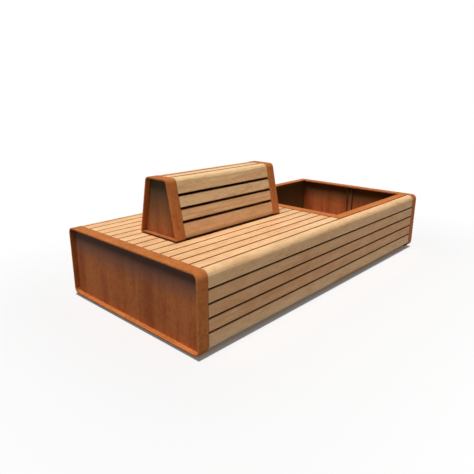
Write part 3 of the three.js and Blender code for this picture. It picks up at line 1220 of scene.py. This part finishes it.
@dataclass
class Planter:
    """The planter's rim, floor, walls and the channel on its far wall."""

    sizes: BenchSizes
    workshop: Workshop
    rim_start: float = 98 * MM
    rim_half_width: float = 549.5 * MM
    rim_width: float = 62 * MM
    rim_thickness: float = 6 * MM
    rim_ease: float = 1.2 * MM
    cut_radius: float = 2 * MM
    cut_steps: int = 3
    sheet_ease: float = 1 * MM
    drain_radius: float = 12 * MM
    drain_columns: int = 3
    drain_rows: int = 2
    channel_width: float = 52 * MM
    channel_wall: float = 4 * MM
    fold_radius: float = 5 * MM
    fold_steps: int = 4
    bead_radius: float = 3.2 * MM
    bead_inside: float = 1.5 * MM
    bead_above: float = 1 * MM
    bead_below_rim: float = 4 * MM

    @property
    def floor_box(self) -> tuple[Vector, Vector]:
        """The floor's lowest and highest corners."""
        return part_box("planter_floor")

    def build_rim(self) -> None:
        """Makes the three flat sides of the rim, with eased edges."""
        end = self.sizes.planter_end - self.sizes.bar.width - self.sizes.seating_gap
        bottom = self.sizes.timber_top + self.sizes.seating_gap
        half, start = self.rim_half_width, self.rim_start
        open_half, open_start = half - self.rim_width, start + self.rim_width
        corners = [
            (start, -half),
            (end, -half),
            (end, -open_half),
            (open_start, -open_half),
            (open_start, open_half),
            (end, open_half),
            (end, half),
            (start, half),
        ]
        outline = turned(corners, self.cut_radius, self.cut_steps, 0.0)
        rows = eased_rows(bottom, bottom + self.rim_thickness, self.rim_ease)
        rim = Shell().extrude([outline], rows, lying)
        self.workshop.hand_over(rim, "planter_rim_frame", Slot.WEATHERING_STEEL, ["planter_rim"])

    def build_floor(self) -> None:
        """Makes the floor with its drain holes."""
        low, high = self.floor_box
        corners = box_corners(low.x, high.x, low.y, high.y)
        outer = turned(corners, self.cut_radius, self.cut_steps, 0.0)
        drains = []
        for column in range(1, self.drain_columns + 1):
            for row in range(1, self.drain_rows + 1):
                along = low.x + (high.x - low.x) * column / (self.drain_columns + 1)
                across = low.y + (high.y - low.y) * row / (self.drain_rows + 1)
                drains.append(disc(along, across, self.drain_radius).opening())
        rows = eased_rows(low.z, high.z, self.sheet_ease)
        floor = Shell().extrude([outer, *drains], rows, lying)
        self.workshop.hand_over(floor, "planter_floor_sheet", Slot.INNER_STEEL, ["planter_floor"])

    def build_channel(self) -> None:
        """Makes the folded channel that stands on the far wall and opens towards the seat."""
        low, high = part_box("wall_channel")
        back, front = high.x, low.x
        half = self.channel_width / 2
        wall = self.channel_wall
        corners = [
            (back, -half),
            (back, half),
            (front, half),
            (front, half - wall),
            (back - wall, half - wall),
            (back - wall, wall - half),
            (front, wall - half),
            (front, -half),
        ]
        fold, edge = self.fold_radius, self.sheet_ease
        radii = [fold, fold, edge, edge, fold - wall, fold - wall, edge, edge]
        section = turned(corners, radii, self.fold_steps, 0.0)
        channel = Shell().extrude([section], eased_rows(low.z, high.z, self.sheet_ease), lying)
        self.workshop.hand_over(channel, "wall_channel_folded", Slot.INNER_STEEL, ["wall_channel"])

    def build_welds(self) -> None:
        """Runs weld beads down the corners and round the floor."""
        low, high = self.floor_box
        near, far = low.x + self.bead_inside, high.x - self.bead_inside
        side = high.y - self.bead_inside
        bottom, top = high.z + self.bead_above, self.sizes.timber_top - self.bead_below_rim
        corners = [(near, -side), (near, side), (far, -side), (far, side)]
        upright, base = Shell(), Shell()
        for corner in corners:
            upright.bead(Vector((*corner, bottom)), Vector((*corner, top)), self.bead_radius)
        for first, last in ((0, 2), (1, 3), (0, 1), (2, 3)):
            ends = [Vector((*corners[number], bottom)) for number in (first, last)]
            base.bead(*ends, self.bead_radius)
        self.workshop.hand_over(upright, "planter_corner_welds", Slot.INNER_STEEL)
        self.workshop.hand_over(base, "planter_floor_welds", Slot.INNER_STEEL)

    def build(self) -> None:
        """Makes the planter."""
        self.build_rim()
        self.build_floor()
        self.build_channel()
        self.build_welds()
        for label in ("seat", Side.BACK.label, Side.FRONT.label):
            self.workshop.dress(f"planter_wall_{label}", Slot.INNER_STEEL)


@dataclass
class BackrestBlock:
    """The block on the seat: two bent bands with panels, and boards between them."""

    sizes: BenchSizes
    workshop: Workshop
    stack: TimberStack
    start_from_end: float = 243 * MM
    length: float = 943 * MM
    top_width: float = 186 * MM
    base_width: float = 336 * MM
    top_radius: float = 30 * MM
    base_radius: float = 7 * MM
    weld_radius: float = 1 * MM
    slats: int = 3
    slat_gap: float = 14 * MM
    lowest_slat_extra: float = 23 * MM
    board_top_width: float = 47 * MM
    board_slope_width: float = 89 * MM
    timber_span: float = 346 * MM
    board_shoulder: float = 1 * MM
    round_steps: int = 8
    bend_steps: int = 14

    @property
    def base(self) -> float:
        """The height of the bands' underside."""
        return self.sizes.seat_top + self.sizes.rest_lift

    @property
    def top(self) -> float:
        """The height of the bands' top."""
        return self.sizes.rest_top

    @property
    def corners(self) -> list[Point]:
        """The block's outer corners in the YZ plane."""
        base, top = self.base_width / 2, self.top_width / 2
        return [(-base, self.base), (base, self.base), (top, self.top), (-top, self.top)]

    def path(self, depth: float) -> Outline:
        """The band's outline at a depth below its outer face."""
        base, top = max(self.base_radius - depth, self.weld_radius), self.top_radius - depth
        return turned(drawn_in(self.corners, depth), [base, base, top, top], self.bend_steps, 0.0)

    def slope_point(self, down: float, depth: float) -> Point:
        """A place on the back slope.

        Args:
            down: the distance down from the top corner.
            depth: the depth below the bands' surface.

        Returns:
            The place in the YZ plane.
        """
        corner = Vector(self.corners[2])
        slope = (Vector(self.corners[1]) - corner).normalized()
        inward = Vector((slope.y, -slope.x))
        return tuple(corner + slope * down + inward * depth)

    def build_bands(self) -> None:
        """Makes the two bands and dresses their panels and packers."""
        bar = self.sizes.bar
        first = self.sizes.seat_end + self.start_from_end
        starts = {End.SEAT: first, End.PLANTER: first + self.length - bar.width}
        bar.bend(self.workshop, "rest", self.path, starts)
        for end in End:
            self.workshop.dress(f"rest_packer_{end.label}", Slot.FOOT_RUBBER)

    def build_timber(self) -> None:
        """Makes the corner boards, the sloping slats and the top slat."""
        sizes = self.sizes
        step_back, ease = sizes.timber_step_back, sizes.slat_ease
        deep = step_back + sizes.slat_thickness
        margin = sizes.bar.width + sizes.butt_gap
        start = sizes.seat_end + self.start_from_end + margin
        end = sizes.seat_end + self.start_from_end + self.length - margin
        edge = self.top_width / 2 - self.board_top_width
        crown, underside = self.top - step_back, self.top - deep
        corners = [
            drawn_in(self.corners, step_back)[2],
            (edge, crown),
            (edge, underside),
            self.slope_point(self.board_slope_width, deep),
            self.slope_point(self.board_slope_width, step_back),
        ]
        radii = [self.top_radius - step_back, ease, ease, ease, ease]
        corner_board = turned(corners, radii, self.round_steps, self.board_shoulder, (1, 2, 3))
        first = self.board_slope_width + self.slat_gap
        pitch = (self.timber_span - first - self.lowest_slat_extra + self.slat_gap) / self.slats
        for side in Side:
            node = f"rest_corner_board_{side.label}"
            self.stack.board(node, corner_board.for_side(side), start, end)
            for row in range(self.slats):
                upper = first + row * pitch
                lower = self.timber_span if row == self.slats - 1 else upper + pitch - self.slat_gap
                edges = [(upper, step_back), (upper, deep), (lower, deep), (lower, step_back)]
                slat = turned([self.slope_point(*spot) for spot in edges], ease, hidden=(0, 1, 2))
                node = f"rest_slat_{side.label}_{row + 1}"
                self.stack.board(node, slat.for_side(side), start, end)
        half = edge - self.slat_gap
        top_slat = turned(box_corners(-half, half, underside, crown), ease, hidden=(0, 1, 3))
        self.stack.board("rest_top_slat", top_slat, start, end)

    def build(self) -> None:
        """Makes the backrest block."""
        self.build_bands()
        self.build_timber()
        self.workshop.dress("rest_rib", Slot.GALVANISED_STEEL)


@dataclass
class Underframe:
    """The rails, ribs and posts inside the bench, and its feet.

    Attributes:
        foot_profile: shares of a foot's height, each with how far it is drawn in, in millimetres.
    """

    workshop: Workshop
    rail_radius: float = 6 * MM
    rail_wall: float = 4 * MM
    rail_steps: int = 4
    cut_ease: float = 0.5 * MM
    foot_profile: tuple[Point, ...] = (
        (0.0, 2.5),
        (0.08, 0.8),
        (0.14, 0.0),
        (0.5, 0.0),
        (0.54, 1.8),
        (0.66, 1.8),
        (0.7, 0.0),
        (0.92, 0.0),
        (0.97, 0.6),
        (1.0, 2.0),
    )

    def build_rails(self) -> None:
        """Makes the two lengthwise box rails with rounded edges."""
        for side in Side:
            node = f"base_rail_{side.label}"
            low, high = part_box(node)
            corners = box_corners(low.y, high.y, low.z, high.z)
            outer = turned(corners, self.rail_radius, self.rail_steps, 0.0)
            inside = drawn_in(corners, self.rail_wall)
            bore = turned(inside, self.rail_radius - self.rail_wall, self.rail_steps, 0.0).opening()
            rows = eased_rows(low.x, high.x, self.cut_ease)
            rail = Shell().extrude([outer, bore], rows, standing)
            self.workshop.hand_over(rail, f"{node}_tube", Slot.GALVANISED_STEEL, [node])

    def build_feet(self) -> None:
        """Makes the four turned rubber feet, each with a groove round its side."""
        for end in End:
            for side in Side:
                node = f"foot_{end.label}_{side.label}"
                low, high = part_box(node)
                middle = (low + high) / 2
                radius, height = (high.x - low.x) / 2, high.z - low.z
                rows = []
                for share, inset in self.foot_profile:
                    rows.append(Row(low.z + share * height, inset * MM, 0.0))
                foot = Shell().extrude([disc(middle.x, middle.y, radius)], rows, lying)
                self.workshop.hand_over(foot, f"{node}_pad", Slot.FOOT_RUBBER, [node])

    def build(self) -> None:
        """Makes the underframe and dresses what stays as it is."""
        self.build_rails()
        self.build_feet()
        for number in (1, 2):
            self.workshop.dress(f"cross_rib_{number}", Slot.GALVANISED_STEEL)
        for side in Side:
            self.workshop.dress(f"side_post_{side.label}", Slot.GALVANISED_STEEL)


@dataclass(frozen=True)
class Lamp:
    """A soft lamp that is far away and lights either the bench or the floor.

    Attributes:
        name: the lamp's name.
        azimuth: the direction that it shines from, in degrees from the planter's end.
        height: how high it hangs, in degrees.
        strength: its strength.
        soft: how wide it looks from the bench, in degrees.
        on_floor: whether it lights the floor instead of the bench.
        far: how far away it hangs.
    """

    name: str
    azimuth: float
    height: float
    strength: float
    soft: float
    on_floor: bool = False
    far: float = 6.0

    def build(self, floor: bpy.types.Object) -> None:
        """Hangs the lamp and turns it towards the bench.

        Args:
            floor: the floor, which only its own lamps light.
        """
        light = bpy.data.lights.new(self.name, "SUN")
        light.energy = self.strength
        light.angle = math.radians(self.soft)
        lamp = bpy.data.objects.new(self.name, light)
        azimuth, height = math.radians(self.azimuth), math.radians(self.height)
        level = Vector((math.cos(azimuth), math.sin(azimuth), 0.0)) * math.cos(height)
        towards = level + Vector((0.0, 0.0, math.sin(height)))
        lamp.rotation_mode = "QUATERNION"
        lamp.rotation_quaternion = towards.to_track_quat("Z", "Y")
        lamp.location = towards * self.far
        bpy.context.scene.collection.objects.link(lamp)
        lit = bpy.data.collections.new(f"{self.name}_lit")
        lit.objects.link(floor)
        link = lit.collection_objects[0].light_linking
        link.link_state = "INCLUDE" if self.on_floor else "EXCLUDE"
        lamp.light_linking.receiver_collection = lit


@dataclass
class Studio:
    """The pale floor and surroundings, the lamps and the camera.

    Attributes:
        lamps: all the lamps.
        floor_half: half the floor's width.
        floor_far: the floor's colour to the eye, far from the bench.
        floor_near_shade: the same beside the bench, a little greyer as painted shade.
        floor_under_shade: the same under it, dark as painted shade.
        reach: how far from the bench the floor starts and ends turning from near to far.
        under: where it turns from under to near, as distances from the bench's outline. They are
            below 0 under the bench.
        bounce_side: the light that the floor sends back along the sides and at the planter's end.
        bounce_end: the same at the seat end.
        bounce_fade: the width over which one turns into the other.
        glow: the colour of the painted light that lifts the shadow beside the bench.
        under_glow: the same under the boards, a painted brown light.
        warm: where the shadow turns from brown to grey, as the same distances.
        lift: how much painted light lifts the shadow, deep under the bench and beside it.
        sky: the surroundings' colour and strength on the bench.
        place: where the camera stands.
        right: the camera's direction to the right.
        forward: the camera's view direction.
        lens: its focal length in millimetres.
        film: the film's width in millimetres.
        half_pixel: half a picture element, as a share of the picture's width.
    """

    lamps: tuple[Lamp, ...] = (
        Lamp("overhead_lamp", 180.0, 74.0, 3.36, 30.0),
        Lamp("side_lamp", 225.0, 60.0, 0.20, 30.0),
        Lamp("low_lamp", 270.0, 2.0, 0.19, 3.0),
        Lamp("floor_lamp", 235.0, 88.2, 2.8, 1.2, on_floor=True),
        Lamp("floor_dome", 0.0, 90.0, 0.40, 175.0, on_floor=True),
    )
    floor_half: float = 40.0
    floor_far: Colour = (0.98, 0.98, 0.98)
    floor_near_shade: Colour = (0.905, 0.905, 0.905)
    floor_under_shade: Colour = (0.12, 0.12, 0.12)
    reach: Point = (0.25, 1.4)
    under: Point = (-0.1, -0.02)
    bounce_side: Colour = (0.40, 0.40, 0.40)
    bounce_end: Colour = (0.08, 0.08, 0.08)
    bounce_fade: float = 0.1
    glow: Colour = WHITE
    under_glow: Colour = (1.0, 0.66, 0.38)
    warm: Point = (-0.04, -0.01)
    lift: Point = (0.11, 0.135)
    sky: tuple[Colour, float] = (WHITE, 0.01)
    place: Triple = (-2.6057, -2.0973, 1.2577)
    right: Triple = (0.6784, -0.7347, 0.0023)
    forward: Triple = (0.7030, 0.6482, -0.2927)
    lens: float = 35.09
    film: float = 36.0
    half_pixel: float = 0.5 / 474

    def build_floor(self) -> bpy.types.Object:
        """Lays the floor.

        It is white to the eye, with painted shade a little greyer near the bench and dark under it.
        It sends less light back, and least beside the seat end. Painted light makes its shadows
        grey to the eye rather than black, and brown under the boards.

        Returns:
            The floor.
        """
        half = self.floor_half
        mesh = bpy.data.meshes.new("studio_floor")
        corners = [(x, y, 0.0) for x, y in box_corners(-half, half, -half, half)]
        mesh.from_pydata(corners, [], [(0, 1, 2, 3)])
        floor = bpy.data.objects.new("studio_floor", mesh)
        bpy.context.scene.collection.objects.link(floor)
        shade = Shading(bpy.data.materials.new("studio_floor"))
        along, across, _ = shade.node("SeparateXYZ", {0: shade.place()}).outputs
        (left, front, _), (right, back, _) = CAD_BOX
        gaps = []
        for part, size in ((along, right - left), (across, back - front)):
            gaps.append(shade.maths("SUBTRACT", shade.maths("ABSOLUTE", part), size / 2))
        squares = [shade.maths("POWER", shade.maths("MAXIMUM", gap, 0.0), 2.0) for gap in gaps]
        away = shade.maths("SQRT", shade.maths("ADD", *squares))
        outside = shade.maths("MAXIMUM", *gaps)
        # Painted shade: greyer near the bench and dark under it.
        pale = shade.blend(shade.levels(away, *self.reach), self.floor_near_shade, self.floor_far)
        pale = shade.blend(shade.levels(outside, *self.under), self.floor_under_shade, pale)
        inward = shade.levels(along, left, left + self.bounce_fade)
        sideways = shade.levels(gaps[1], 0.0, self.bounce_fade)
        beside = shade.maths("MAXIMUM", inward, sideways)
        bounce = shade.blend(beside, self.bounce_end, self.bounce_side)
        surface = shade.node("BsdfDiffuse", {"Color": shade.blend(shade.seen(), bounce, pale)})
        # Painted light, seen only straight on, lifts the shadow to grey and to brown under the
        # boards.
        tint = shade.blend(shade.levels(outside, *self.warm), self.under_glow, self.glow)
        glow = shade.node("Emission", {"Color": tint, "Strength": 1.0})
        lift = shade.levels(outside, self.under[0], 0.0, *self.lift)
        straight = shade.node("LightPath", {}).outputs["Is Camera Ray"]
        shade.close("OutputMaterial", shade.maths("MULTIPLY", straight, lift), surface, glow)
        mesh.materials.append(shade.owner)
        return floor

    def build_sky(self) -> None:
        """Makes the surroundings white to the eye and to gloss, and soft on everything else."""
        world = bpy.data.worlds.new("studio_sky")
        bpy.context.scene.world = world
        shade = Shading(world)
        colour, strength = self.sky
        soft = shade.node("Background", {"Color": colour, "Strength": strength})
        white = shade.node("Background", {"Color": WHITE, "Strength": 1.0})
        shade.close("OutputWorld", shade.seen(), soft, white)

    def build_camera(self) -> None:
        """Stands the camera where the photograph was taken from."""
        lens = bpy.data.cameras.new("photograph_camera")
        lens.lens = self.lens
        lens.sensor_width = self.film
        lens.shift_x, lens.shift_y = -self.half_pixel, self.half_pixel
        camera = bpy.data.objects.new("photograph_camera", lens)
        forward = Vector(self.forward).normalized()
        right = Vector(self.right)
        right = (right - forward * right.dot(forward)).normalized()
        up = right.cross(forward)
        turn = Matrix((right, up, -forward)).transposed().to_4x4()
        camera.matrix_world = Matrix.Translation(Vector(self.place)) @ turn
        bpy.context.scene.collection.objects.link(camera)
        bpy.context.scene.camera = camera

    def build(self) -> None:
        """Sets up everything that isn't the bench."""
        floor = self.build_floor()
        self.build_sky()
        for lamp in self.lamps:
            lamp.build(floor)
        self.build_camera()
        bpy.context.scene.view_settings.view_transform = "Standard"


def finishes(sizes: BenchSizes) -> dict[Slot, bpy.types.Material]:
    """Makes one material for each slot.

    Args:
        sizes: the bench's sizes, for the overhangs below which the inner steel takes patina and
            painted shade.

    Returns:
        The materials by slot.
    """
    rest_foot = sizes.seat_top + sizes.rest_lift
    lip = 8 * MM
    # The colour of the painted shade at the backrest's foot and inside the backrest.
    painted_shade = display(48, 28, 16)
    steel = WeatheredSteel(
        "weathering_steel",
        body=display(171, 99, 49),
        deep=display(132, 70, 36),
        bright=display(212, 128, 70),
        streaks=0.3,
        rest_foot=rest_foot,
        painted_shade=painted_shade,
    )
    inner = WeatheredSteel(
        "inner_steel",
        body=display(184, 108, 64),
        deep=display(136, 64, 38),
        bright=display(200, 119, 68),
        streaks=0.62,
        rest_foot=rest_foot,
        painted_shade=painted_shade,
        # Patina and painted shade below the seat's overhang and the backrest's overhang.
        eaves=(
            Eave(sizes.seat_top - lip, 200 * MM, display(127, 97, 86)),
            Eave(sizes.rest_top - lip, 370 * MM, display(88, 80, 60)),
        ),
    )
    timber = OiledHardwood(
        "timber",
        pale=display(255, 219, 167),
        warm=display(236, 180, 129),
        late=display(194, 134, 84),
        # Painted shade for the gaps and the backrest's foot, dark brown, and warm brown on the
        # seat.
        timber_shade=display(74, 33, 8),
        seat_timber_shade=display(152, 84, 30),
        seat_top=sizes.timber_top,
        rest_foot=rest_foot,
    )
    zinc = Galvanised(
        "galvanised_steel",
        light=display(150, 153, 154),
        dark=display(118, 121, 122),
        painted_shade=painted_shade,
        rest_foot=rest_foot,
    )
    rubber = Rubber("foot_rubber", body=display(30, 30, 32), dust=display(84, 80, 76))
    return {
        Slot.WEATHERING_STEEL: steel.material(),
        Slot.INNER_STEEL: inner.material(),
        Slot.TIMBER: timber.material(),
        Slot.GALVANISED_STEEL: zinc.material(),
        Slot.FOOT_RUBBER: rubber.material(),
    }


def main() -> None:
    """Builds the bench and the studio in order."""
    logging.basicConfig(level=logging.INFO, format="%(name)s: %(message)s")
    sizes = BenchSizes()
    workshop = Workshop(finishes(sizes))
    stack = TimberStack(workshop)
    Studio().build()
    EndFrames(sizes, workshop).build()
    SeatTimber(sizes, stack).build()
    Planter(sizes, workshop).build()
    BackrestBlock(sizes, workshop, stack).build()
    Underframe(workshop).build()
    log.info("%d pieces made", len(workshop.made))


if __name__ == "__main__":
    main()
